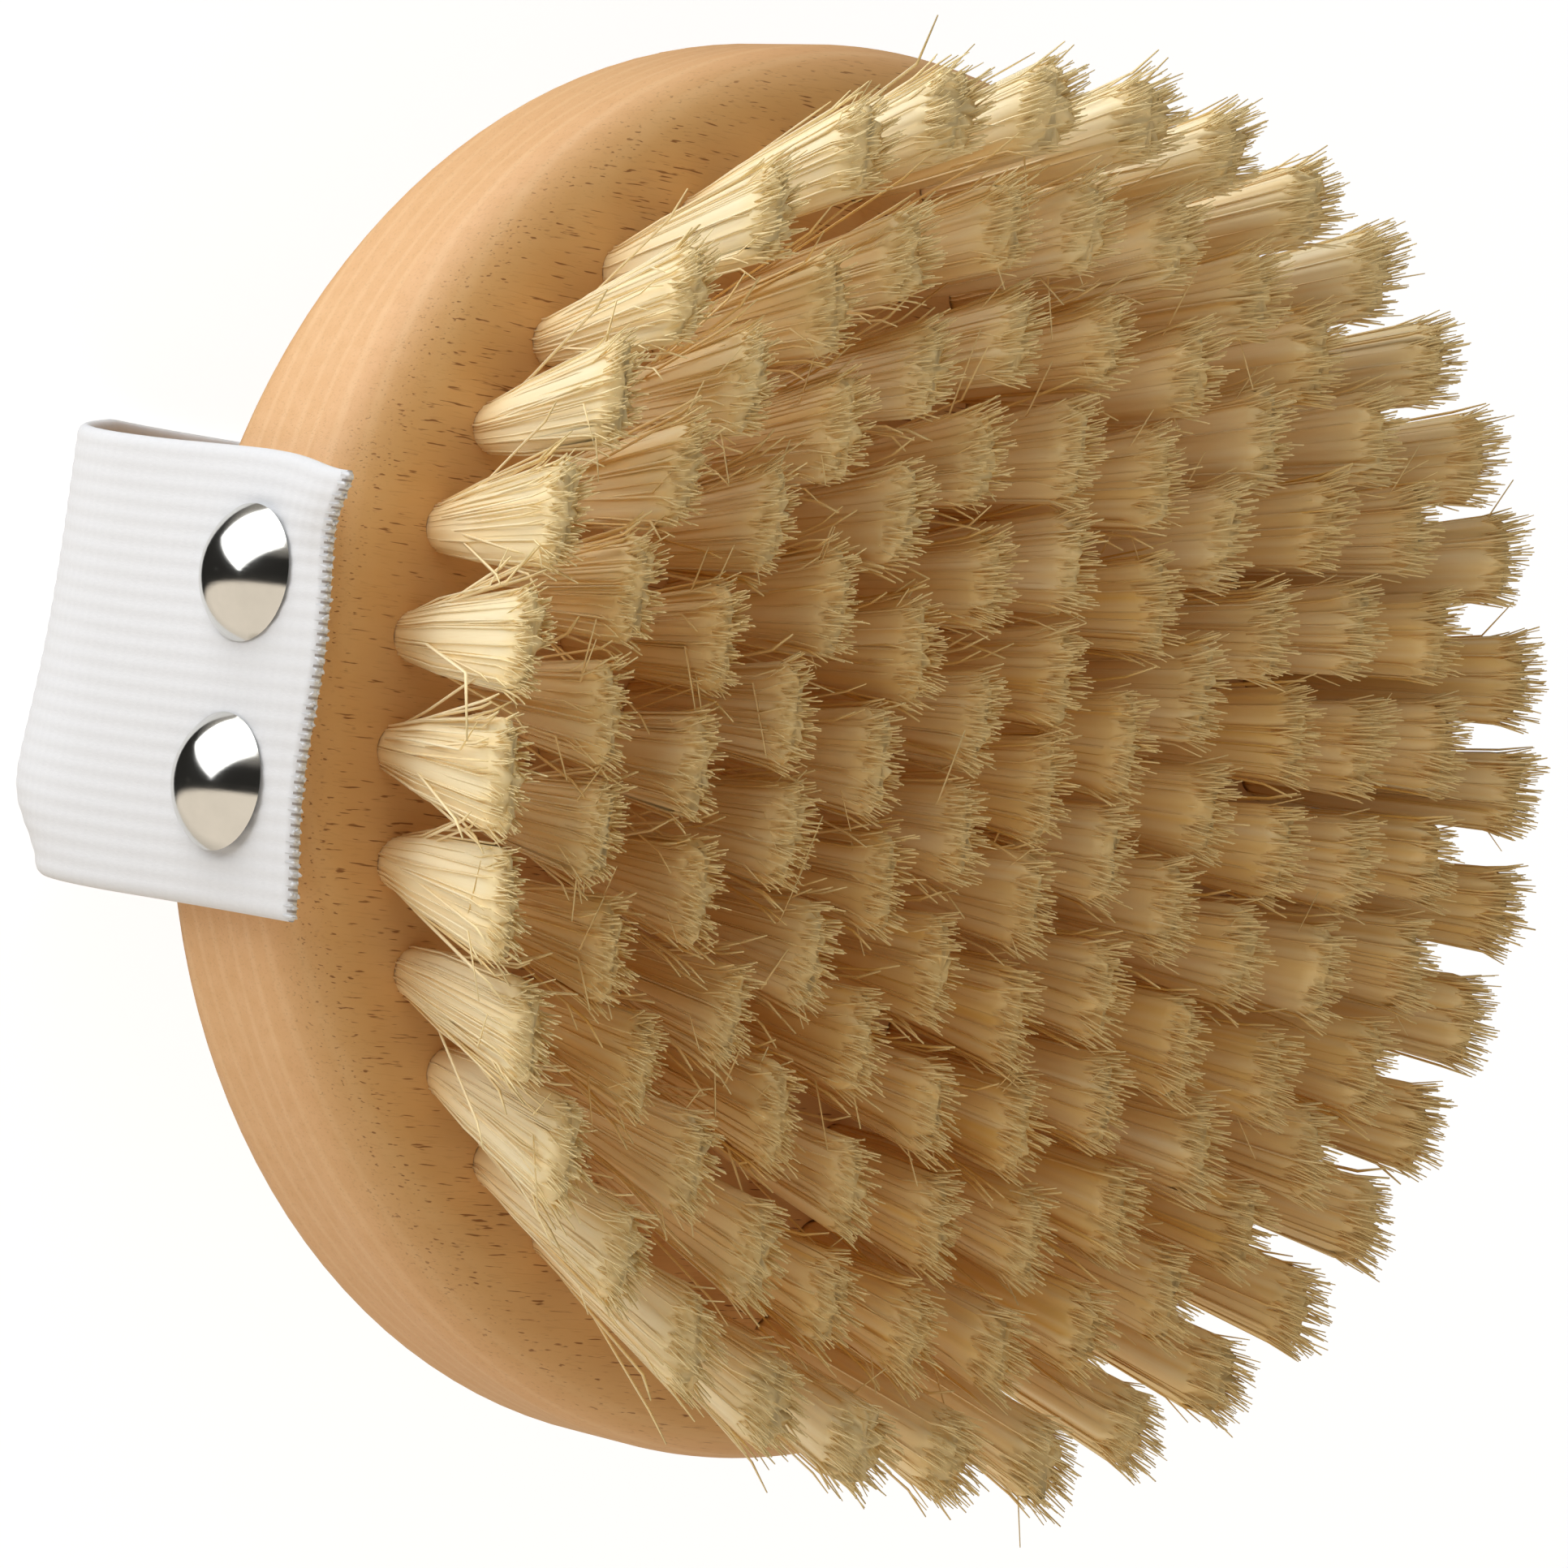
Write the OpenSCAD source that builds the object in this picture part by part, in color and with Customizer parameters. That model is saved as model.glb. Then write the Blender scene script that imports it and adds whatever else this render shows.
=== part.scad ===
// Round body brush: a beech block with rings of staple-set fibre tufts on its face and a
// webbing hand strap nailed to its wall. It rests on the strap's crown with the bristles up.
// Millimetres. The origin is at the middle of the footprint, +Z is the way the bristles point
// and X runs along the strap.

/* [Block] */
// Diameter of the wooden block
block_d = 125; // [110:1:140]
// Thickness of the wooden block
block_h = 17.5; // [16:0.5:24]
// Rounding of the edge round the bristle face
face_round = 6; // [3:0.5:6]
// Rounding of the edge on the hand side
back_round = 3; // [2:0.5:4]

/* [Bristles] */
// Height of the bristles above the face
bristle_h = 26.5; // [20:0.5:35]
// Radius of the outermost ring of tuft holes at the face
root_ring_r = 51; // [48:0.5:52]
// How much wider each ring is at the bristle ends than at the face
splay = 1.16; // [1:0.01:1.17]
// Diameter of a tuft hole
hole_d = 4; // [3.5:0.1:4.2]
// Depth of a tuft hole along its own axis
hole_depth = 9; // [8:0.5:10]
// Diameter of a tuft at its cut end
tuft_tip_d = 6; // [5:0.5:7]
// Tufts in each ring, from the outermost ring inwards
ring_counts = [34, 30, 23, 18, 12, 6];
// Turn of each ring about the block's axis, in degrees
ring_turns = [184.6, 178, 183, 194, 180, 210];

/* [Anchors] */
// Thickness of the flat wire anchor at the bottom of a tuft hole
anchor_t = 0.4; // [0.3:0.05:0.5]
// Height of the anchor along the hole
anchor_h = 1.6; // [1.2:0.1:2]

/* [Hand strap] */
// Width of the webbing
strap_w = 38; // [34:1:40]
// Thickness of the webbing
strap_t = 1.6; // [1.4:0.1:2]
// Room for the hand between the webbing and the block
hand_gap = 28; // [24:1:40]
// Outer radius of the webbing's bend on each side
strap_bend_r = 22; // [16:1:26]
// How far the webbing's cut ends stand above the bristle face
strap_end_h = 4; // [0:0.5:5]

/* [Tacks] */
// Diameter of a tack's domed cap
cap_d = 11.4; // [10:0.1:12]
// Height of the domed cap
cap_h = 3; // [2.5:0.1:3.5]
// Thickness of the cap's sheet metal
cap_t = 0.5; // [0.4:0.1:0.6]
// Distance of the tacks below the bristle face
tack_drop = 6; // [6:0.5:9]
// Distance between the two tacks at one end of the strap
tack_spacing = 17.2; // [15:0.2:19]
// Length of the nail from the webbing's outer face to its point
nail_len = 11; // [9:0.5:11]
// Diameter of the nail's shank
nail_d = 2; // [1.6:0.1:2.2]

/* [Hidden] */
$fn = 64;

// Clearance round nails, tufts and anchors, and between the webbing and the block
gap = 0.05;
block_r = block_d / 2;
back_z = strap_t + hand_gap;
face_z = back_z + block_h;
rings = len(ring_counts);
ring_pitch = root_ring_r / rings;
ring_numbers = [1:rings];

// Tuft: a straight root in the hole, then a cone that opens towards the cut end
tuft_root_r = hole_d / 2 - gap;
tuft_tip_r = tuft_tip_d / 2;
tuft_over = 4;
anchor_floor = 1.2;

// Webbing: the outer face of each leg and the path that its bend follows
strap_x = block_r + gap + strap_t;
strap_top_z = face_z + strap_end_h;

// Tacks: two at each end of the strap, all at one height
tack_z = face_z - tack_drop;
tack_y = tack_spacing / 2;
nail_head_d = 5;
nail_head_t = 0.8;
nail_point = 2.5;
// How far the pieces of one outline run into each other
overlap = 0.1;
// Radius of the sphere that the cap is cut from
cap_r = (pow(cap_d / 2, 2) + cap_h * cap_h) / (2 * cap_h);

wood = [0.85, 0.65, 0.44];
webbing = [0.94, 0.94, 0.95];
nickel = [0.80, 0.79, 0.76];
steel = [0.62, 0.63, 0.65];
fibre = [0.87, 0.75, 0.54];

function ring_r(ring) = root_ring_r - (ring - 1) * ring_pitch;
function lean(r) = atan(r * (splay - 1) / bristle_h);
function tack_x_sign(i) = i <= 2 ? -1 : 1;
function tack_y_sign(i) = i % 2 == 1 ? -1 : 1;

// Puts its child at a point of the face on radius r, with local +Z along the leaning tuft
// and local X along the block's X, so that all anchors lie the same way
module at_root(r, turn) {
    rotate([0, 0, turn])
        translate([r, 0, face_z])
            rotate([0, lean(r), 0])
                rotate([0, 0, -turn])
                    children();
}

// Puts its child at every tuft of a ring
module each_tuft(ring) {
    count = ring_counts[ring - 1];
    for (k = [0:count - 1])
        at_root(ring_r(ring), ring_turns[ring - 1] + k * 360 / count)
            children();
}

// Puts its child on the webbing's outer face at tack i, with local +Z pointing outwards
module at_tack(i) {
    translate([tack_x_sign(i) * strap_x, tack_y_sign(i) * tack_y, tack_z])
        rotate([0, tack_x_sign(i) * 90, 0])
            children();
}

module tuft_hole() {
    translate([0, 0, -hole_depth])
        cylinder(h = hole_depth + tuft_over, d = hole_d);
}

// One bundle of fibres, folded round its anchor at the bottom of the hole
module tuft() {
    difference() {
        rotate_extrude()
            polygon([
                [0, gap - hole_depth],
                [tuft_root_r, gap - hole_depth],
                [tuft_root_r, 0],
                [tuft_tip_r, bristle_h + tuft_over],
                [0, bristle_h + tuft_over]
            ]);
        anchor_blank(gap);
    }
}

// Flat wire across the hole. The tuft's slot is the same block with room round it.
module anchor_blank(room) {
    width = hole_d - 2 * gap + 2 * room;
    low = anchor_floor - hole_depth - room;
    translate([-width / 2, -anchor_t / 2 - room, low])
        cube([width, anchor_t + 2 * room, anchor_h + 2 * room]);
}

module anchor() {
    intersection() {
        anchor_blank(0);
        translate([0, 0, -hole_depth])
            cylinder(h = hole_depth, d = hole_d - 2 * gap);
    }
}

// Everything below the level that all bristle ends are cut to
module trim_level() {
    translate([0, 0, back_z])
        cylinder(h = block_h + bristle_h, r = block_r + tuft_tip_d);
}

module wood_block() {
    color(wood)
        difference() {
            rotate_extrude()
                union() {
                    translate([0, back_z])
                        square([block_r - back_round, back_round + overlap]);
                    translate([0, back_z + back_round])
                        square([block_r, block_h - back_round - face_round]);
                    translate([0, back_z + block_h - face_round - overlap])
                        square([block_r - face_round, face_round + overlap]);
                    translate([block_r - back_round, back_z + back_round])
                        circle(r = back_round);
                    translate([block_r - face_round, face_z - face_round])
                        circle(r = face_round);
                }
            for (ring = ring_numbers)
                each_tuft(ring) tuft_hole();
            at_root(0, 0) tuft_hole();
            for (i = [1:4])
                at_tack(i) nail_hole();
        }
}

// The hole that the nail makes in the webbing and the block
module nail_hole() {
    translate([0, 0, -nail_len - gap])
        cylinder(h = nail_len + strap_t, d = nail_d + 2 * gap);
}

// Webbing bent round the hand: two legs, two round bends and a flat crown
module strap_outline(inset) {
    x = strap_x - inset;
    r = strap_bend_r - inset;
    straight = strap_x - strap_bend_r;
    translate([-x, strap_bend_r])
        square([2 * x, strap_top_z - strap_bend_r + inset]);
    translate([-straight, inset])
        square([2 * straight, strap_bend_r]);
    for (side = [-1, 1])
        translate([side * straight, strap_bend_r])
            circle(r = r);
}

module hand_strap() {
    color(webbing)
        difference() {
            translate([0, strap_w / 2, 0])
                rotate([90, 0, 0])
                    linear_extrude(height = strap_w)
                        difference() {
                            strap_outline(0);
                            strap_outline(strap_t);
                            translate([-block_d, strap_top_z])
                                square([2 * block_d, block_h]);
                        }
            for (i = [1:4])
                at_tack(i) nail_hole();
        }
}

// Domed sheet-metal cap: a shell between two spheres, open towards the webbing
module tack_cap(i) {
    color(nickel)
        at_tack(i)
            translate([0, 0, gap])
                intersection() {
                    difference() {
                        translate([0, 0, cap_h - cap_r]) sphere(r = cap_r);
                        translate([0, 0, cap_h - cap_r]) sphere(r = cap_r - cap_t);
                    }
                    cylinder(h = cap_h, d = cap_d);
                }
}

// Nail: a flat head inside the cap, a shank and a point
module tack_nail(i) {
    color(steel)
        at_tack(i)
            rotate_extrude()
                polygon([
                    [0, nail_head_t + gap],
                    [nail_head_d / 2, nail_head_t + gap],
                    [nail_head_d / 2, gap],
                    [nail_d / 2, gap],
                    [nail_d / 2, nail_point - nail_len],
                    [0, -nail_len]
                ]);
}

module tuft_ring(ring) {
    color(fibre)
        intersection() {
            each_tuft(ring) tuft();
            trim_level();
        }
}

module tuft_centre() {
    color(fibre)
        intersection() {
            at_root(0, 0) tuft();
            trim_level();
        }
}

module anchor_ring(ring) {
    color(steel)
        each_tuft(ring) anchor();
}

module anchor_centre() {
    color(steel)
        at_root(0, 0) anchor();
}

wood_block();
hand_strap();
for (i = [1:4]) {
    tack_cap(i);
    tack_nail(i);
}
for (ring = ring_numbers) {
    tuft_ring(ring);
    anchor_ring(ring);
}
tuft_centre();
anchor_centre();
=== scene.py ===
import math

import bpy
import numpy as np
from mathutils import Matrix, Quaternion, Vector


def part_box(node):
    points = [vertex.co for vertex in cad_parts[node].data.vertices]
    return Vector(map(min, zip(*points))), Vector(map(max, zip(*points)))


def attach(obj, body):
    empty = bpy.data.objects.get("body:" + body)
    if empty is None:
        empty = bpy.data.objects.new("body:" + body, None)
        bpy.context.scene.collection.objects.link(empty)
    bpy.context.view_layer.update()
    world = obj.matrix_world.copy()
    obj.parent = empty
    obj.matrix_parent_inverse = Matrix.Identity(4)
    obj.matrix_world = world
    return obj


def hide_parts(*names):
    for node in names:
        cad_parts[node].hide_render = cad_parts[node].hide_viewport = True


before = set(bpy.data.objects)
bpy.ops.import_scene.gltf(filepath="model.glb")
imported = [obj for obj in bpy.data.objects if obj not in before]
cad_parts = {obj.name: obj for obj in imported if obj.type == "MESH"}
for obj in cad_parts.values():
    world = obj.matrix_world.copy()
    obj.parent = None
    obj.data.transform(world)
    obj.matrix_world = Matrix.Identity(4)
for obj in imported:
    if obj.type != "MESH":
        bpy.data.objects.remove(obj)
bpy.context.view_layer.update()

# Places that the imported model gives, in metres
WOOD_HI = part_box("wood_block")[1]
STRAP_LO, STRAP_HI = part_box("hand_strap")
BLOCK_R = WOOD_HI.x
FACE = WOOD_HI.z
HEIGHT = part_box("tuft_ring_1")[1].z - FACE  # of the bristles above the face

# Tufts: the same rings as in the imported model, in metres and degrees
ROOT_R = 0.051
RING_COUNTS = (34, 30, 23, 18, 12, 6)
RING_TURNS = (184.6, 178, 183, 194, 180, 210)
RING_PITCH = ROOT_R / len(RING_COUNTS)
HOLE_R = 0.0019
SPREAD = (0.172, 0.142)  # how far a tuft's end moves outwards along X and Y
END_HALF = (0.00145, 0.0046)  # half depth along X and half width along Y of its end
FIBRE_D = 0.00023
FIBRES_A_TUFT = 190
SIDES = 3  # of a fibre
LEVELS = np.array([-0.05, 0.03, 0.3, 0.88, 1.0])  # along a fibre, 0 at the face
FIBRE_UV = "OFBake"  # also fit to bake into

# How a bundle's fibres differ: shares from 0 to 1, lengths in metres
GOLDEN_ANGLE = 2.399963  # spreads points evenly over a disc
RAGGED = (0.0002, 0.0003)  # mean and spread of how far an end lies below the cut level
PROUD = 0.0003  # the most that an end stands above it
SHORT_SHARE = 0.2
SHORT_BY = (0.0005, 0.0030)
STRAY_SHARE = (0.04, 0.42)  # in the middle of a fan, and more at its sides
STRAY_REACH = (0.0018, 0.0004)  # mean and least
STRAY_MOST = 0.0042
BENT_SHARE = 0.03
SPIKES = (1.5, 7)  # for each unit of the disc, in which the ends gather
SPIKE_GRID = (7, 19)
SPIKE_LENGTH = (0.0006, 0.0008)  # spread, and the most that a spike stands up

# The dense middle of a bundle: its levels, and how thin and narrow it is at each
CORE_SIDES = 48
CORE_LEVELS = (*LEVELS[:-1], 0.915, 0.945)
CORE_THIN = (1, 1, 1, 1, 0.75, 0.2)
CORE_NARROW = (1, 1, 1, 1, 0.96, 0.8)

# Webbing, in metres
STRAP_T = 0.0016  # thickness
STRAP_R = 0.022  # outer radius of a bend
STRAP_W = STRAP_HI.y - STRAP_LO.y
STRAP_X = STRAP_HI.x
RIBS = 25
RIB_H = 0.00003
COLUMNS = RIBS * 6  # of faces across the width
LEG = STRAP_HI.z - STRAP_R
MID_R = STRAP_R - STRAP_T / 2
BEND = math.pi / 2 * MID_R  # length of a bend
CROWN = 2 * (STRAP_X - STRAP_R)
STRAP_LEN = 2 * LEG + math.pi * MID_R + CROWN
SLACK = 0.00012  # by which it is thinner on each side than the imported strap
SELVEDGE = 0.0011  # width of the thinner edge
ROW_STEPS = (0.0009, 0.0013, 0.0026)  # between rows of points: leg, bend, crown
BEND_ROWS = 0.034  # length that has the bend's rows
TAPER = 0.003  # length in which a cut end gets thinner
END_ZONE = 0.010  # length in which a cut end's level varies
TACK_AT = 0.010  # distance of the tacks from a cut end
END_THREADS = 44  # side by side at a cut end
THREAD_ROWS = 3
THREAD_R = 0.00024
END_BAND = 0.0003  # length of the painted shade in the dark gaps between the threads


def srgb(r, g, b):
    """Linear colour, with alpha, of an sRGB colour given from 0 to 255."""
    linear = []
    for c in (r, g, b):
        c /= 255
        linear.append(c / 12.92 if c <= 0.04045 else ((c + 0.055) / 1.055) ** 2.4)
    return (*linear, 1.0)


# ---------------------------------------------------------------- camera
AZIMUTH = math.radians(179.85)  # of the camera, seen from the aim point
ELEVATION = math.radians(47.84)
ROLL = math.radians(97.82)
DISTANCE = 0.55507
AIM = Vector((-0.00774, -0.0027, FACE))
LENS = 146.73
SENSOR = 36

camera = bpy.data.objects.new("camera", bpy.data.cameras.new("camera"))
bpy.context.scene.collection.objects.link(camera)
bpy.context.scene.camera = camera
camera.data.lens = LENS
camera.data.sensor_width = SENSOR
camera.data.clip_start = 0.01
to_camera = Vector(
    (
        math.cos(ELEVATION) * math.cos(AZIMUTH),
        math.cos(ELEVATION) * math.sin(AZIMUTH),
        math.sin(ELEVATION),
    )
)
camera.location = AIM + DISTANCE * to_camera
camera.rotation_mode = "QUATERNION"
camera.rotation_quaternion = (-to_camera).to_track_quat("-Z", "Y") @ Quaternion(
    (0, 0, 1), ROLL
)


# ---------------------------------------------------------------- materials
class Nodes:
    """A material's node tree, built by short calls."""

    def __init__(self, name):
        self.material = bpy.data.materials.new(name)
        self.material.use_nodes = True
        self.tree = self.material.node_tree
        self.shader = self.tree.nodes["Principled BSDF"]

    def add(self, kind, inputs=None, **settings):
        node = self.tree.nodes.new("ShaderNode" + kind)
        for key, value in settings.items():
            setattr(node, key, value)
        for key, value in (inputs or {}).items():
            if isinstance(value, bpy.types.NodeSocket):
                self.tree.links.new(value, node.inputs[key])
            else:
                node.inputs[key].default_value = value
        return node

    def ramp(self, factor, stops):
        """A colour ramp. A stop is a position with a colour or a grey."""
        node = self.add("ValToRGB", {"Fac": factor})
        elements = node.color_ramp.elements
        while len(elements) < len(stops):
            elements.new(0.5)
        for element, (position, tone) in zip(elements, stops, strict=True):
            element.position = position
            element.color = tone if isinstance(tone, tuple) else (tone, tone, tone, 1)
        return node.outputs["Color"]

    def scaled(self, vector, scale):
        return self.add("Mapping", {"Vector": vector, "Scale": scale}).outputs["Vector"]

    def noise(self, vector, scale, detail=2.0, roughness=0.5):
        node = self.add(
            "TexNoise",
            {
                "Vector": vector,
                "Scale": scale,
                "Detail": detail,
                "Roughness": roughness,
            },
        )
        return node.outputs["Fac"]

    def mix(self, factor, a, b):
        node = self.add("Mix", data_type="RGBA")
        for index, value in ((0, factor), (6, a), (7, b)):
            if isinstance(value, bpy.types.NodeSocket):
                self.tree.links.new(value, node.inputs[index])
            else:
                node.inputs[index].default_value = value
        return node.outputs[2]

    def math(self, operation, a, b=0.0, c=0.0):
        node = self.add("Math", {0: a, 1: b, 2: c}, operation=operation)
        return node.outputs[0]

    def bump(self, height, distance, strength):
        inputs = {"Height": height, "Distance": distance, "Strength": strength}
        return self.add("Bump", inputs).outputs["Normal"]

    def finish(self, **inputs):
        """Sets or links the shader's inputs; Base_Color stands for Base Color."""
        for key, value in inputs.items():
            socket = self.shader.inputs[key.replace("_", " ")]
            if isinstance(value, bpy.types.NodeSocket):
                self.tree.links.new(value, socket)
            else:
                socket.default_value = value
        return self.material


def wood_material():
    n = Nodes("beech")
    place = n.add("TexCoord").outputs["Object"]
    up = n.add("SeparateXYZ", {"Vector": place}).outputs["Z"]
    level = n.add(
        "MapRange",
        {"Value": up, "From Min": FACE - 0.0035, "From Max": FACE - 0.0004},
    ).outputs["Result"]
    # Growth rings: thin layers that lie nearly flat and run along X
    layers = n.add(
        "TexWave",
        {
            "Vector": n.scaled(place, (7, 30, 280)),
            "Scale": 1.0,
            "Distortion": 3.0,
            "Detail": 2.0,
            "Detail Scale": 0.8,
        },
        wave_type="BANDS",
        bands_direction="DIAGONAL",
    ).outputs["Fac"]
    streaks = n.noise(n.scaled(place, (35, 620, 620)), 1.0, 3, 0.6)
    blotches = n.noise(place, 28, 2)
    # Short dark rays, mostly on the face, and finer pores, both along X
    rays = n.ramp(
        n.noise(n.scaled(place, (430, 4300, 4300)), 1.0, 1.0, 0.4),
        [(0.665, 0.0), (0.73, 1.0)],
    )
    rays = n.math("MULTIPLY", rays, n.math("MULTIPLY_ADD", level, 0.75, 0.12))
    pores = n.ramp(
        n.noise(n.scaled(place, (420, 5200, 5200)), 1.0, 1), [(0.58, 0.0), (0.72, 1.0)]
    )
    base = n.mix(
        n.ramp(streaks, [(0.3, 0.0), (0.75, 0.5)]),
        srgb(229, 186, 136),
        srgb(214, 166, 112),
    )
    base = n.mix(
        n.ramp(blotches, [(0.35, 0.0), (0.75, 0.4)]), base, srgb(220, 164, 114)
    )
    lines = n.ramp(layers, [(0.70, 0.0), (0.97, 0.2)])
    base = n.mix(lines, base, srgb(243, 211, 164))
    # Painted shade: the face, among the tufts, is darker and more ochre than the rim
    base = n.mix(n.math("MULTIPLY", level, 0.5), base, srgb(202, 159, 91))
    base = n.mix(rays, base, srgb(132, 84, 44))
    base = n.mix(n.math("MULTIPLY", pores, 0.16), base, srgb(160, 112, 70))
    height = n.math(
        "SUBTRACT",
        n.math("MULTIPLY", streaks, 0.5),
        n.math("ADD", rays, n.math("MULTIPLY", pores, 0.5)),
    )
    return n.finish(
        Base_Color=base,
        Roughness=n.ramp(streaks, [(0.2, 0.40), (0.8, 0.52)]),
        Specular_IOR_Level=0.35,
        Normal=n.bump(height, 0.00005, 0.5),
    )


def metal_material(name, colour, low, high, grain):
    """Metal whose polish varies a little and carries fine marks."""
    n = Nodes(name)
    place = n.add("TexCoord").outputs["Object"]
    smear = n.noise(place, grain, 4, 0.6)
    marks = n.noise(n.scaled(place, (900, 5200, 1400)), 1.0, 2)
    return n.finish(
        Base_Color=n.mix(
            n.ramp(smear, [(0.3, 0.0), (0.8, 0.5)]),
            srgb(*colour),
            srgb(*(0.9 * c for c in colour)),
        ),
        Metallic=1.0,
        Roughness=n.ramp(smear, [(0.3, low), (0.75, high)]),
        Normal=n.bump(marks, 0.000004, 0.35),
    )


def webbing_material():
    n = Nodes("webbing")
    cloth = n.add("UVMap", uv_map="cloth").outputs["UV"]
    # Cross threads along the length, and the twist of the threads in each rib
    cross = n.add(
        "TexWave",
        {
            "Vector": n.scaled(cloth, (60, 1370, 1)),
            "Scale": 0.16,
            "Distortion": 0.7,
            "Detail": 1.0,
        },
        wave_type="BANDS",
        bands_direction="Y",
    ).outputs["Fac"]
    threads = n.noise(n.scaled(cloth, (4200, 1900, 1)), 1.0, 2, 0.6)
    fuzz = n.noise(n.scaled(cloth, (900, 900, 1)), 1.0, 4, 0.7)
    tone = n.mix(
        n.ramp(threads, [(0.25, 0.0), (0.8, 0.4)]),
        srgb(230, 233, 238),
        srgb(218, 222, 228),
    )
    tone = n.mix(n.math("MULTIPLY", cross, 0.06), tone, srgb(214, 216, 222))
    # Painted shade: dark gaps between the threads of the cut ends
    split = n.add("SeparateXYZ", {"Vector": cloth})
    y, s = split.outputs["X"], split.outputs["Y"]
    wave = n.math("COSINE", n.math("MULTIPLY", y, math.tau * END_THREADS / STRAP_W))
    middle = STRAP_LEN / 2
    ends = n.math(
        "GREATER_THAN",
        n.math("ABSOLUTE", n.math("SUBTRACT", s, middle)),
        middle - END_BAND,
    )
    painted_gap_shade = n.math("MULTIPLY", ends, n.ramp(wave, [(0.5, 0.0), (0.9, 0.65)]))
    tone = n.mix(painted_gap_shade, tone, srgb(116, 98, 84))
    height = n.math(
        "ADD",
        n.math("MULTIPLY", cross, 0.5),
        n.math(
            "ADD", n.math("MULTIPLY", threads, 0.45), n.math("MULTIPLY", fuzz, 0.25)
        ),
    )
    return n.finish(
        Base_Color=tone,
        Roughness=0.85,
        Specular_IOR_Level=0.2,
        Sheen_Weight=0.25,
        Sheen_Roughness=0.5,
        Normal=n.bump(height, 0.0001, 0.4),
    )


def fibre_material():
    """Plant fibre. Its UV map holds a fibre's shade across, and root to tip upwards."""
    n = Nodes("plant_fibre")
    place = n.add("UVMap", uv_map=FIBRE_UV).outputs["UV"]
    split = n.add("SeparateXYZ", {"Vector": place})
    shade, along = split.outputs["X"], split.outputs["Y"]
    # Painted shade: a fibre is darker and more golden at its root, low in the tuft
    pale = n.ramp(
        along,
        [
            (0.0, srgb(248, 222, 170)),
            (0.3, srgb(254, 239, 200)),
            (0.8, srgb(255, 242, 204)),
            (1.0, srgb(255, 235, 178)),
        ],
    )
    # Painted light: a golden fibre is paler at its cut end, so that the fringe looks
    # lit
    golden = n.math(
        "MULTIPLY",
        n.ramp(shade, [(0.15, 0.0), (0.9, 1.0)]),
        n.ramp(along, [(0.88, 1.0), (0.99, 0.45)]),
    )
    tone = n.mix(golden, pale, srgb(242, 202, 118))
    mottle = n.noise(n.scaled(place, (41, 6, 1)), 1.0, 3, 0.6)
    tone = n.mix(
        n.ramp(mottle, [(0.5, 0.0), (0.85, 0.22)]), tone, srgb(224, 172, 98)
    )
    return n.finish(
        Base_Color=tone,
        Roughness=n.ramp(mottle, [(0.2, 0.36), (0.8, 0.55)]),
        Specular_IOR_Level=0.4,
    )


WOOD = wood_material()
NICKEL = metal_material("nickel", (222, 222, 218), 0.10, 0.17, 260)
STEEL = metal_material("steel", (168, 170, 174), 0.28, 0.42, 400)
WEBBING = webbing_material()
FIBRE = fibre_material()


# ---------------------------------------------------------------- mesh helper
def piece(name, verts, faces, material, layer, uv):
    """A mesh piece that rides on the one body. uv holds a place for each vertex."""
    mesh = bpy.data.meshes.new(name)
    mesh.from_pydata(verts, [], faces)
    obj = bpy.data.objects.new(name, mesh)
    bpy.context.scene.collection.objects.link(obj)
    mesh.materials.append(material)
    mesh.polygons.foreach_set("use_smooth", [True] * len(mesh.polygons))
    corners = np.empty(len(mesh.loops), int)
    mesh.loops.foreach_get("vertex_index", corners)
    spread = np.asarray(uv)[corners]
    mesh.uv_layers.new(name=layer).data.foreach_set("uv", spread.ravel())
    mesh.update()
    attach(obj, "root")
    return obj


# ---------------------------------------------------------------- tufts
class Tuft:
    """One bundle: a round root in its hole that opens into a fan, wide along Y."""

    def __init__(self, rng, x, y):
        self.x, self.y = x, y
        side, far = abs(y) / ROOT_R, max(0.0, x / ROOT_R)
        outer = max(0.0, math.hypot(x, y) / ROOT_R - 0.8) * 5  # 1 on the outer ring
        # Half the fan's depth and width: it is deeper and narrower towards +Y and -Y
        self.deep = (END_HALF[0] + 0.0018 * side**3) * rng.uniform(0.85, 1.15)
        self.wide = END_HALF[1] - 0.0008 * side**2 - 0.0005 * far**3
        self.wide *= rng.uniform(0.93, 1.07)
        # How much the fibres stray, most of all towards -X
        self.wild = 0.7 - 0.45 * x / ROOT_R - 0.3 * side**2 * outer
        self.lean = (
            x * SPREAD[0] + rng.normal(0, 0.00025),
            y * SPREAD[1] + 0.0006 * far**2 + rng.normal(0, 0.0003),
        )
        self.yaw = rng.normal(0, 0.07)  # of the fan about its own root
        # From 0, pale, to 1, golden, round a random tone. Painted light and shade:
        # paler towards -X and +Y, where the light falls, and on the outer ring, most at
        # -X; more golden towards +X and -Y, where shade falls
        self.shade = rng.uniform(0.48, 0.68) + 0.08 * (x - y) / ROOT_R
        self.shade -= (0.14 * max(0.0, -x) + 0.10 * max(0.0, y)) / ROOT_R
        self.shade -= 0.4 * outer * (0.62 - 0.38 * x / ROOT_R)
        self.shade = max(0.08, self.shade)

    def point(self, u, v, t, z, shift=(0.0, 0.0)):
        """The place of point (u, v) of the unit disc, at level t and height z."""
        t = np.clip(t, 0, 1)
        across = u * (HOLE_R + (self.deep - HOLE_R) * t) + shift[0]
        along = v * (HOLE_R + (self.wide - HOLE_R) * t**0.6) + shift[1]
        cos, sin = np.cos(self.yaw * t), np.sin(self.yaw * t)
        x = self.x + self.lean[0] * t + across * cos - along * sin
        y = self.y + self.lean[1] * t + across * sin + along * cos
        return np.stack([x, y, FACE + z + 0 * x], -1)


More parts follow.
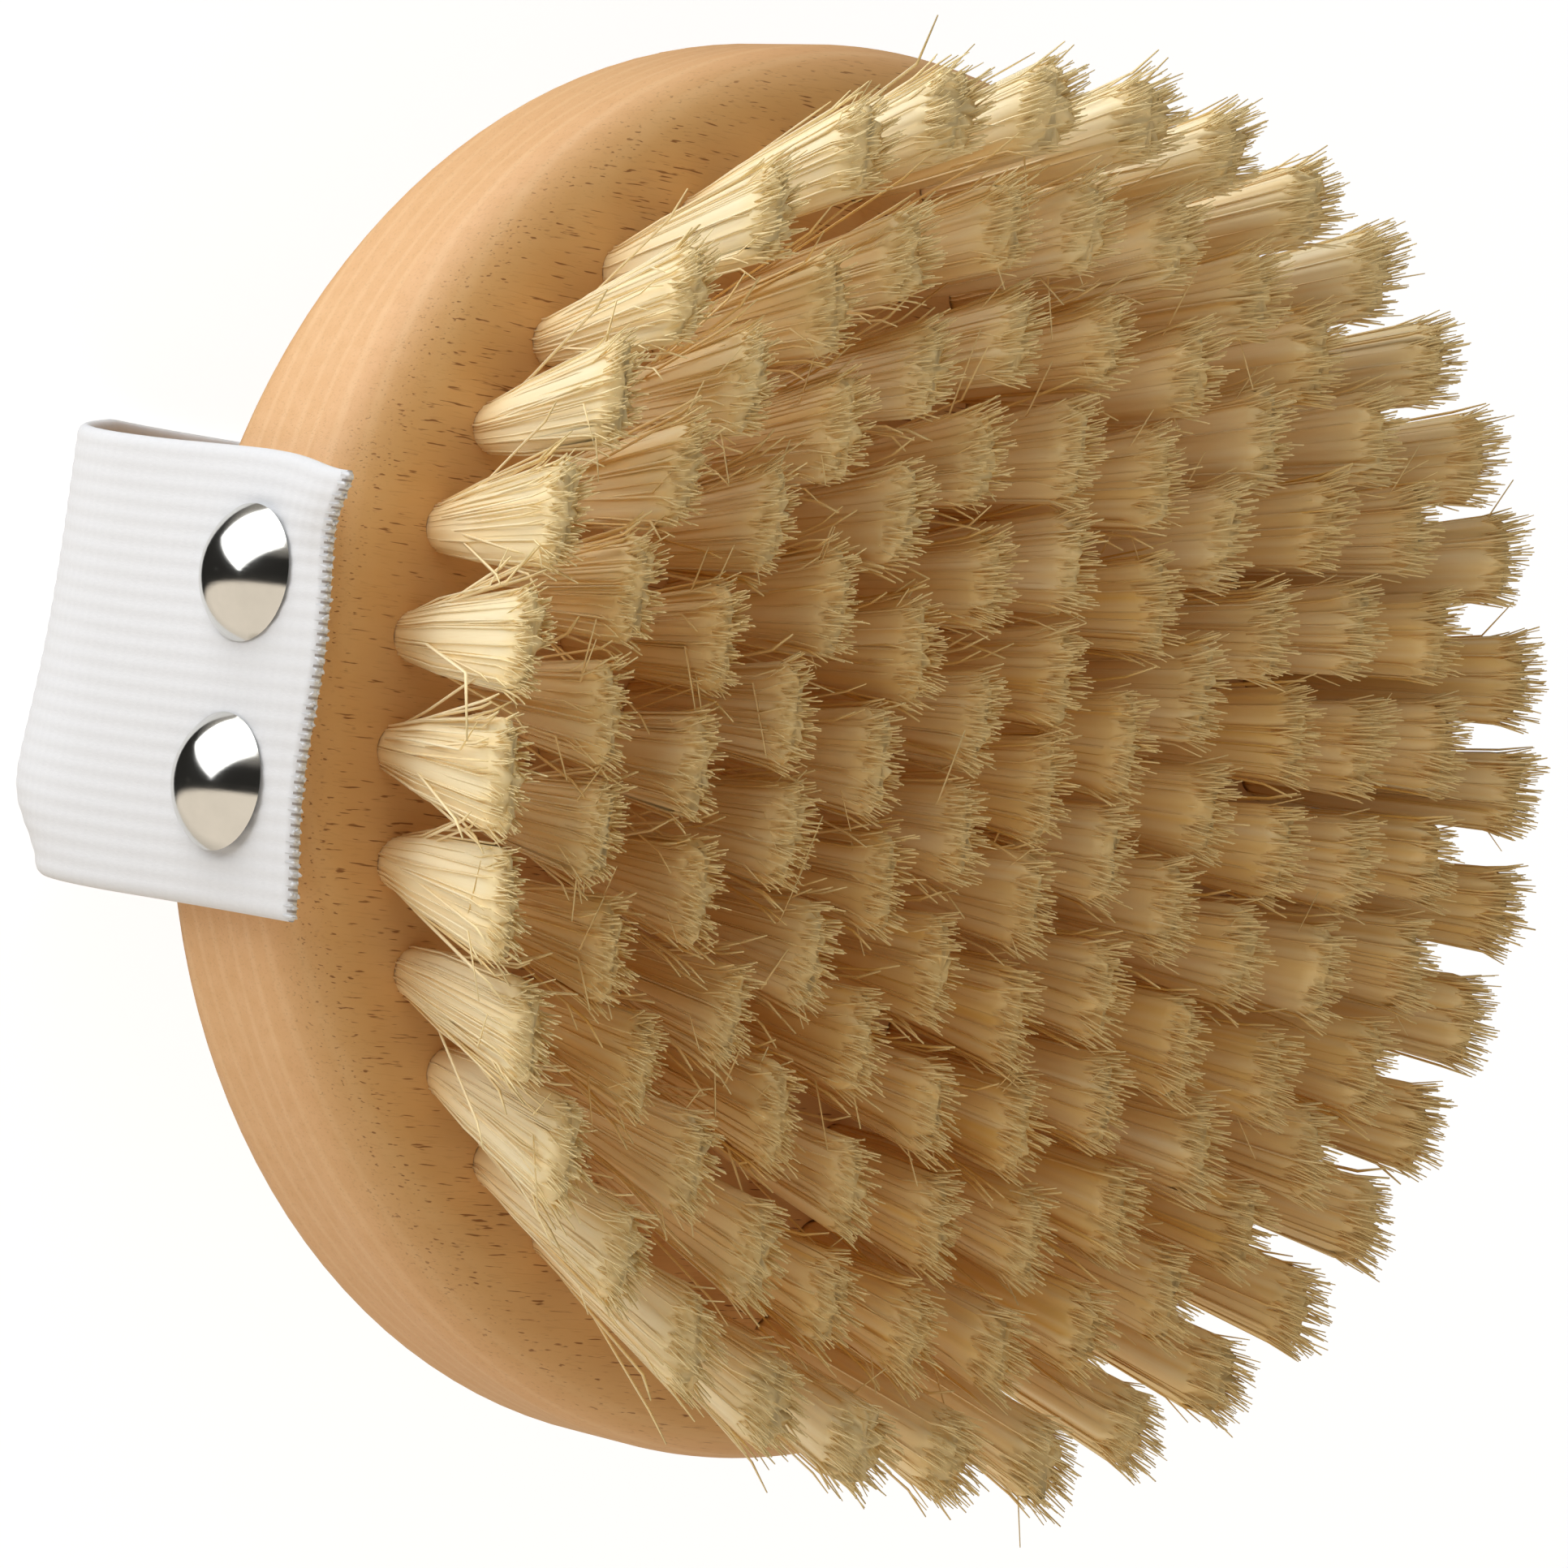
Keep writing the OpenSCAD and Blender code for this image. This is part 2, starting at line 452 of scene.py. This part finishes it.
def fibre_lines(rng, tuft, count):
    """Centre lines of a tuft's fibres, as (count, levels, 3), and which ones stray."""
    i = np.arange(count)
    disc = ((i + 0.5) / count) ** 0.4
    angle = i * GOLDEN_ANGLE + rng.uniform(0, math.tau)
    u = disc * np.cos(angle) + rng.normal(0, 0.04, count)
    v = disc * np.sin(angle) + rng.normal(0, 0.03, count)
    t = LEVELS[None, :] * np.ones((count, 1))
    ahead = np.clip(t, 0, 1)
    # Ends: one cut level, lower at the fan's sides, ragged, with some short fibres
    drop = np.maximum(rng.normal(*RAGGED, count), -PROUD) + 0.0008 * v**2
    short = rng.random(count) < SHORT_SHARE
    drop[short] += rng.uniform(*SHORT_BY, short.sum())
    # Fibres that stand away from the fan, mostly at its two sides
    middle, sides = STRAY_SHARE
    stray = rng.random(count) < tuft.wild * (middle + sides * np.abs(v) ** 6)
    mean, least = STRAY_REACH
    reach = np.where(stray, rng.exponential(mean, count) + least, 0)
    reach = np.minimum(reach, STRAY_MOST) * tuft.wild
    drop += reach * rng.uniform(0.1, 0.8, count)
    way_u = 0.4 * u + rng.normal(0, 0.35, count)
    way_v = np.sign(v) * rng.uniform(0.5, 1.0, count)
    turned = rng.random(count) < BENT_SHARE * tuft.wild  # bent over near the end
    bow = rng.normal(0, 0.0001, (2, count, 1)) * 4 * ahead * (1 - ahead)
    start = rng.uniform(0.05, 0.5, (count, 1))
    away = np.clip((ahead - start) / (1 - start), 0, 1) ** 1.3
    shift = [
        (way * reach)[:, None] * away + bow[k]
        for k, way in enumerate((way_u, way_v))
    ]
    # Ends gather into small spikes
    row, column = np.round(u * SPIKES[0]), np.round(v * SPIKES[1])
    spread, tallest = SPIKE_LENGTH
    length = rng.normal(0, spread, SPIKE_GRID)
    cell = row.astype(int) + SPIKE_GRID[0] // 2, column.astype(int) + SPIKE_GRID[1] // 2
    drop += np.maximum(length[cell], -tallest)
    together = rng.uniform(0.2, 0.8, count)
    shift[0][:, -1] += (row / SPIKES[0] - u) * tuft.deep * together
    shift[0][:, -1] += rng.normal(0, 0.00012, count)
    shift[1][:, -1] += (column / SPIKES[1] - v) * tuft.wide * together + 0.0005 * v
    shift[1][:, -1] += rng.normal(0, 0.00026, count)
    shift[1][turned, -1] += rng.normal(0, 0.0028, turned.sum())
    drop[turned] += 0.002
    z = (HEIGHT - drop)[:, None] * ahead + np.minimum(t, 0) * HEIGHT
    return tuft.point(u[:, None], v[:, None], t, z, shift), stray


def tubes(lines, radii, around):
    """Closed tubes round centre lines, as vertices and faces. around turns each."""
    count, levels, _ = lines.shape
    along = np.gradient(lines, axis=1)
    along /= np.linalg.norm(along, axis=2, keepdims=True)
    side = np.cross(along, np.array([1.0, 0.2, 0.1]))
    side /= np.linalg.norm(side, axis=2, keepdims=True)
    up = np.cross(along, side)
    taper = np.ones(levels)
    taper[-1] = 0.5
    r = (radii[:, None] * taper)[..., None]
    rings = []
    for k in range(SIDES):
        a = (around[:, None] + k * math.tau / SIDES)[..., None]
        rings.append(lines + r * (np.cos(a) * side + np.sin(a) * up))
    verts = np.stack(rings, 2).reshape(-1, 3)  # fibre, level, side
    first = np.arange(count)[:, None, None] * levels * SIDES
    level = np.arange(levels - 1)[None, :, None] * SIDES
    k = np.arange(SIDES)[None, None, :]
    low, high = first + level, first + level + SIDES
    after = (k + 1) % SIDES
    quads = np.stack([low + k, low + after, high + after, high + k], -1)
    ends = first[:, 0] + np.arange(SIDES)
    faces = [
        *quads.reshape(-1, 4).tolist(),
        *ends[:, ::-1].tolist(),
        *(ends + (levels - 1) * SIDES).tolist(),
    ]
    return verts, faces


def core(rng, tuft):
    """The dense middle of a bundle, as one closed body that ends below the fringe."""
    around = np.arange(CORE_SIDES) * math.tau / CORE_SIDES
    groove = 0.98 + rng.normal(0, 0.012, CORE_SIDES)
    u, v = np.cos(around) * groove, np.sin(around) * groove
    verts = []
    uneven = rng.normal(0, 0.0004, CORE_SIDES) - 0.0009 * v**2
    for t, thin, narrow in zip(CORE_LEVELS, CORE_THIN, CORE_NARROW, strict=True):
        z = t * HEIGHT + (uneven if t > 0.5 else 0 * uneven)
        verts.append(tuft.point(u * thin, v * narrow, t, z))
    verts.append(tuft.point(0.0, 0.0, 0.94, HEIGHT * 0.94)[None])
    shade = np.clip(rng.normal(tuft.shade, 0.1, CORE_SIDES), 0.02, 0.98)
    uv = [np.stack([shade, np.full(CORE_SIDES, max(t, 0.0))], -1) for t in CORE_LEVELS]
    uv.append([(tuft.shade, 0.9)])
    faces = [list(range(CORE_SIDES))[::-1]]
    for i in range(len(CORE_LEVELS)):
        for k in range(CORE_SIDES):
            low, after = i * CORE_SIDES, (k + 1) % CORE_SIDES
            high = low + CORE_SIDES
            if i < len(CORE_LEVELS) - 1:
                faces.append([low + k, low + after, high + after, high + k])
            else:
                faces.append([low + k, low + after, high])
    return np.concatenate(verts), faces, np.concatenate(uv)


def tuft_piece(name, node, places, seed):
    """All tufts of one ring as one piece. places are the roots' (x, y) on the face."""
    rng = np.random.default_rng(seed)
    verts, faces, uvs, lines, radii, shades = [], [], [], [], [], []
    start = 0
    for x, y in places:
        tuft = Tuft(rng, x, y)
        line, stray = fibre_lines(rng, tuft, FIBRES_A_TUFT)
        lines.append(line)
        vary = rng.uniform(0.8, 1.15, len(line))
        radii.append(FIBRE_D / 2 * vary * (1 + 0.3 * stray))
        shade = rng.normal(tuft.shade, 0.09, len(line)) + 0.2 * stray
        shades.append(np.clip(shade, 0.03, 0.97))
        v, f, uv = core(rng, tuft)
        verts.append(v)
        uvs.append(uv)
        faces += [[i + start for i in face] for face in f]
        start += len(v)
    radii, shades = np.concatenate(radii), np.concatenate(shades)
    around = rng.uniform(0, math.tau, len(radii))
    v, f = tubes(np.concatenate(lines), radii, around)
    faces += [[i + start for i in face] for face in f]
    edge = np.array([-0.01, 0.0, 0.01])
    across = shades[:, None, None] + edge[None, None, :] + 0 * LEVELS[None, :, None]
    upward = np.clip(LEVELS, 0, 1)[None, :, None] + 0 * across
    uvs.append(np.stack([across, upward], -1).reshape(-1, 2))
    verts = np.concatenate([*verts, v])
    obj = piece(name, verts.tolist(), faces, FIBRE, FIBRE_UV, np.concatenate(uvs))
    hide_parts(node)


for ring, (tufts, turn) in enumerate(zip(RING_COUNTS, RING_TURNS, strict=True), 1):
    r = ROOT_R - (ring - 1) * RING_PITCH
    angles = [math.radians(turn + k * 360 / tufts) for k in range(tufts)]
    places = [(r * math.cos(a), r * math.sin(a)) for a in angles]
    tuft_piece(f"fibres_ring_{ring}", f"tuft_ring_{ring}", places, ring)
tuft_piece("fibres_centre", "tuft_centre", [(0.0, 0.0)], 7)


# ---------------------------------------------------------------- webbing
def strap_line(s):
    """Middle of the thickness at a distance s from the -X end, and outward normal."""
    mirrored = s > STRAP_LEN / 2
    d = STRAP_LEN - s if mirrored else s
    if d < LEG:
        point, normal = (-STRAP_X + STRAP_T / 2, STRAP_HI.z - d), (-1, 0)
    elif d < LEG + BEND:
        a = (d - LEG) / MID_R
        point = (
            -STRAP_X + STRAP_R - MID_R * math.cos(a),
            STRAP_R - MID_R * math.sin(a),
        )
        normal = (-math.cos(a), -math.sin(a))
    else:
        point = (-STRAP_X + STRAP_R + d - LEG - BEND, STRAP_T / 2)
        normal = (0, -1)
    sign = -1 if mirrored else 1
    return tuple(Vector((sign * across, 0, up)) for across, up in (point, normal))


def bell(x, width):
    """1 at zero, and close to nothing beyond twice the width."""
    return math.exp(-((x / width) ** 2))


def end_level(y, mirrored):
    """How far the cut end stands above a straight one at y. mirrored is the +X end."""
    if mirrored:
        return -0.0006 + 0.0004 * math.sin(y * 260)
    return 0.0003 * math.sin(y * 310 + 1) + 0.0021 * bell(y - STRAP_W / 2, 0.0040)


def strap_point(s, y, inner):
    """A point of the webbing's surface, a distance s along it and y across it."""
    mirrored = s > STRAP_LEN / 2
    d = STRAP_LEN - s if mirrored else s
    point, normal = strap_line(s)
    out = 1 if mirrored else -1
    half = (STRAP_T / 2 - SLACK) * (0.55 + 0.45 * min(1, d / TAPER))
    # Thinner selvedges, and ribs along the length
    edge = (STRAP_W / 2 - abs(y)) / SELVEDGE
    half *= math.sqrt(max(0.0, 1 - (1 - min(1, edge)) ** 2)) * 0.75 + 0.25
    rib = RIB_H * math.cos((y / STRAP_W + 0.5) * math.tau * RIBS + math.pi)
    rib *= min(1, edge)
    place = point + normal * (-half - rib if inner else half + rib)
    place.y = y
    if d < LEG:
        place.z += end_level(y, mirrored) * max(0, 1 - d / END_ZONE)
    # Each leg lies against the round wall where the tacks pull it in
    hug = BLOCK_R - math.sqrt(BLOCK_R**2 - y * y)
    pulled = 0.42 * bell(d - TACK_AT, 0.014)
    place.x -= out * hug * pulled
    if not mirrored:
        # The free corner curls away from the wood
        corner = bell(y - STRAP_W / 2, 0.0062) * bell(d, 0.0065)
        place.x -= 0.0022 * corner
        place.z += 0.0006 * corner
        place.y -= 0.0014 * corner
        # The other edge sags outwards down to the bend and turns in there
        other = y + STRAP_W / 2
        place.x -= 0.0022 * bell(other, 0.015) * bell(d - 0.041, 0.016)
        place -= normal * 0.0042 * bell(other, 0.0042) * bell(d - 0.045, 0.011)
    # The crown lies a little to one side of the legs
    place.y += 0.0020 * min(1, max(0, (d - 0.022) / 0.03)) ** 2
    return place


def strap_rows():
    """Distances of the rows of points from the -X end, closer on legs and bends."""
    on_leg, on_bend, on_crown = ROW_STEPS
    rows, s = [0.0], 0.0
    while s < STRAP_LEN / 2:
        s += on_leg if s < LEG else on_bend if s < LEG + BEND_ROWS else on_crown
        rows.append(min(s, STRAP_LEN / 2))
    return rows + [STRAP_LEN - s for s in rows[-2::-1]]


def strap():
    """The webbing as one closed, ribbed sheet."""
    rows = strap_rows()
    across = [(k / COLUMNS - 0.5) * STRAP_W for k in range(COLUMNS + 1)]
    wide = len(across)
    verts, cloth = [], []
    for inner in (False, True):
        for s in rows:
            for y in across:
                verts.append(strap_point(s, y, inner))
                cloth.append((y + STRAP_W / 2, s))
    faces = []
    count = len(rows)

    def at(inner, row, column):
        return (inner * count + row) * wide + column

    for row in range(count - 1):
        for column in range(wide - 1):
            outer = [
                at(0, row, column),
                at(0, row, column + 1),
                at(0, row + 1, column + 1),
                at(0, row + 1, column),
            ]
            faces.append(outer)
            faces.append([i + count * wide for i in outer[::-1]])
        for column, flip in ((0, False), (wide - 1, True)):
            side = [
                at(0, row, column),
                at(0, row + 1, column),
                at(1, row + 1, column),
                at(1, row, column),
            ]
            faces.append(side[::-1] if flip else side)
    for row, flip in ((0, True), (count - 1, False)):
        for column in range(wide - 1):
            side = [
                at(0, row, column),
                at(0, row, column + 1),
                at(1, row, column + 1),
                at(1, row, column),
            ]
            faces.append(side[::-1] if flip else side)
    obj = piece("webbing_strap", verts, faces, WEBBING, "cloth", cloth)
    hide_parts("hand_strap")
    return obj


def frayed_ends():
    """Short cut threads along both ends of the webbing."""
    rng = np.random.default_rng(7)
    lines, cloth = [], []
    for mirrored in (False, True):
        s = STRAP_LEN if mirrored else 0.0
        for k in range(END_THREADS * THREAD_ROWS):
            column, row = divmod(k, THREAD_ROWS)
            y = ((column + 0.5) / END_THREADS - 0.5) * STRAP_W + rng.normal(0, 0.00008)
            y = max(-STRAP_W / 2 + 0.0004, min(STRAP_W / 2 - 0.0004, y))
            a = strap_point(s, y, False)
            b = strap_point(s, y, True)
            mid = a.lerp(b, (row + 0.5) / THREAD_ROWS)
            up = rng.uniform(0.0001, 0.0004)
            lean = rng.normal(0, 0.0001, 2)
            lines.append(
                [
                    (mid.x, mid.y, mid.z - 0.0008),
                    (mid.x, mid.y, mid.z),
                    (mid.x + lean[0] * 0.4, mid.y + lean[1] * 0.4, mid.z + up * 0.6),
                    (mid.x + lean[0], mid.y + lean[1], mid.z + up),
                ]
            )
            cloth += [(y + STRAP_W / 2, s)] * 4 * SIDES
    around = rng.uniform(0, math.tau, len(lines))
    verts, faces = tubes(np.array(lines), np.full(len(lines), THREAD_R), around)
    obj = piece("webbing_fray", verts.tolist(), faces, WEBBING, "cloth", cloth)
    return obj


webbing = strap()
fray = frayed_ends()

# ---------------------------------------------------------------- carried CAD nodes
for name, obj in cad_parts.items():
    if name.startswith("wood"):
        finish = WOOD
    elif name.startswith("tack_cap"):
        finish = NICKEL
    elif name.startswith(("tack_nail", "anchor")):
        finish = STEEL
    else:
        continue
    for slot in obj.material_slots:
        slot.link = "OBJECT"
        slot.material = finish

# ---------------------------------------------------------------- stage and light
scene = bpy.context.scene
scene.view_settings.view_transform = "Standard"
scene.view_settings.look = "None"
scene.cycles.diffuse_bounces = 10


def stage_floor():
    """A pale floor that rises into a wall all round, far from the object."""
    rings = [(0.0, 0.0), (0.6, 0.0), (1.6, 0.0), (2.2, 0.12), (2.6, 0.5), (2.8, 1.2)]
    rings += [(2.6, 2.2), (1.9, 2.9), (0.0, 3.1)]
    sides = 64
    verts = [
        (r * math.cos(a), r * math.sin(a), z)
        for r, z in rings
        for a in (k * math.tau / sides for k in range(sides))
    ]
    faces = [
        (
            i * sides + k,
            i * sides + (k + 1) % sides,
            (i + 1) * sides + (k + 1) % sides,
            (i + 1) * sides + k,
        )
        for i in range(len(rings) - 1)
        for k in range(sides)
    ]
    mesh = bpy.data.meshes.new("floor")
    mesh.from_pydata(verts, [], faces)
    mesh.polygons.foreach_set("use_smooth", [True] * len(faces))
    obj = bpy.data.objects.new("floor", mesh)
    scene.collection.objects.link(obj)
    n = Nodes("floor")
    mesh.materials.append(
        n.finish(
            Base_Color=(0.35, 0.35, 0.35, 1),
            Roughness=1.0,
            Specular_IOR_Level=0.0,
            Emission_Color=(1, 1, 1, 1),
            Emission_Strength=0.88,
        )
    )
    obj.visible_diffuse = False
    obj.visible_glossy = False
    obj.visible_shadow = False


def softbox(name, towards, distance, size, power):
    """A square lamp that looks at the middle of the face, set cornerwise."""
    lamp = bpy.data.lights.new(name, "AREA")
    lamp.shape = "SQUARE"
    lamp.size = size
    lamp.energy = power
    obj = bpy.data.objects.new(name, lamp)
    scene.collection.objects.link(obj)
    direction = Vector(towards).normalized()
    centre = Vector((0, 0, FACE))
    obj.location = centre + direction * distance
    obj.rotation_mode = "QUATERNION"
    obj.rotation_quaternion = (-direction).to_track_quat("-Z", "Y") @ Quaternion(
        (0, 0, 1), math.radians(45)
    )
    return obj


def room_light():
    """A bright table towards -Y and a dim room elsewhere, all weaker towards +X."""
    world = bpy.data.worlds.new("room")
    scene.world = world
    world.use_nodes = True
    tree = world.node_tree
    background = tree.nodes["Background"]
    place = tree.nodes.new("ShaderNodeTexCoord")
    split = tree.nodes.new("ShaderNodeSeparateXYZ")
    height = tree.nodes.new("ShaderNodeMath")
    height.operation = "MULTIPLY_ADD"
    height.inputs[1].default_value = 0.5
    height.inputs[2].default_value = 0.5
    ramp = tree.nodes.new("ShaderNodeValToRGB")
    table, dark = ramp.color_ramp.elements
    table.position = 0.38
    table.color = (0.95, 0.84, 0.71, 1)
    dark.position = 0.42
    dark.color = (0.025, 0.024, 0.022, 1)
    for position, tone in ((0.70, 0.025), (0.84, 0.42)):
        stop = ramp.color_ramp.elements.new(position)
        stop.color = (tone, 0.93 * tone, 0.83 * tone, 1)
    fade = tree.nodes.new("ShaderNodeMapRange")
    for name, value in (
        ("From Min", -0.2),
        ("From Max", 0.5),
        ("To Min", 1.0),
        ("To Max", 0.35),
    ):
        fade.inputs[name].default_value = value
    for start, end in (
        (place.outputs["Generated"], split.inputs[0]),
        (split.outputs["Y"], height.inputs[0]),
        (height.outputs[0], ramp.inputs["Fac"]),
        (ramp.outputs["Color"], background.inputs["Color"]),
        (split.outputs["X"], fade.inputs["Value"]),
        (fade.outputs["Result"], background.inputs["Strength"]),
    ):
        tree.links.new(start, end)


stage_floor()
room_light()
softbox("key", (-0.67, 0.70, -0.24), 0.55, 0.76, 4.05)
# Weak warm light from above that the metal doesn't show
above = softbox("above", (-0.25, 0.25, 1.0), 0.7, 0.6, 0.62)
above.data.color = (1.0, 0.86, 0.70)
above.visible_glossy = False
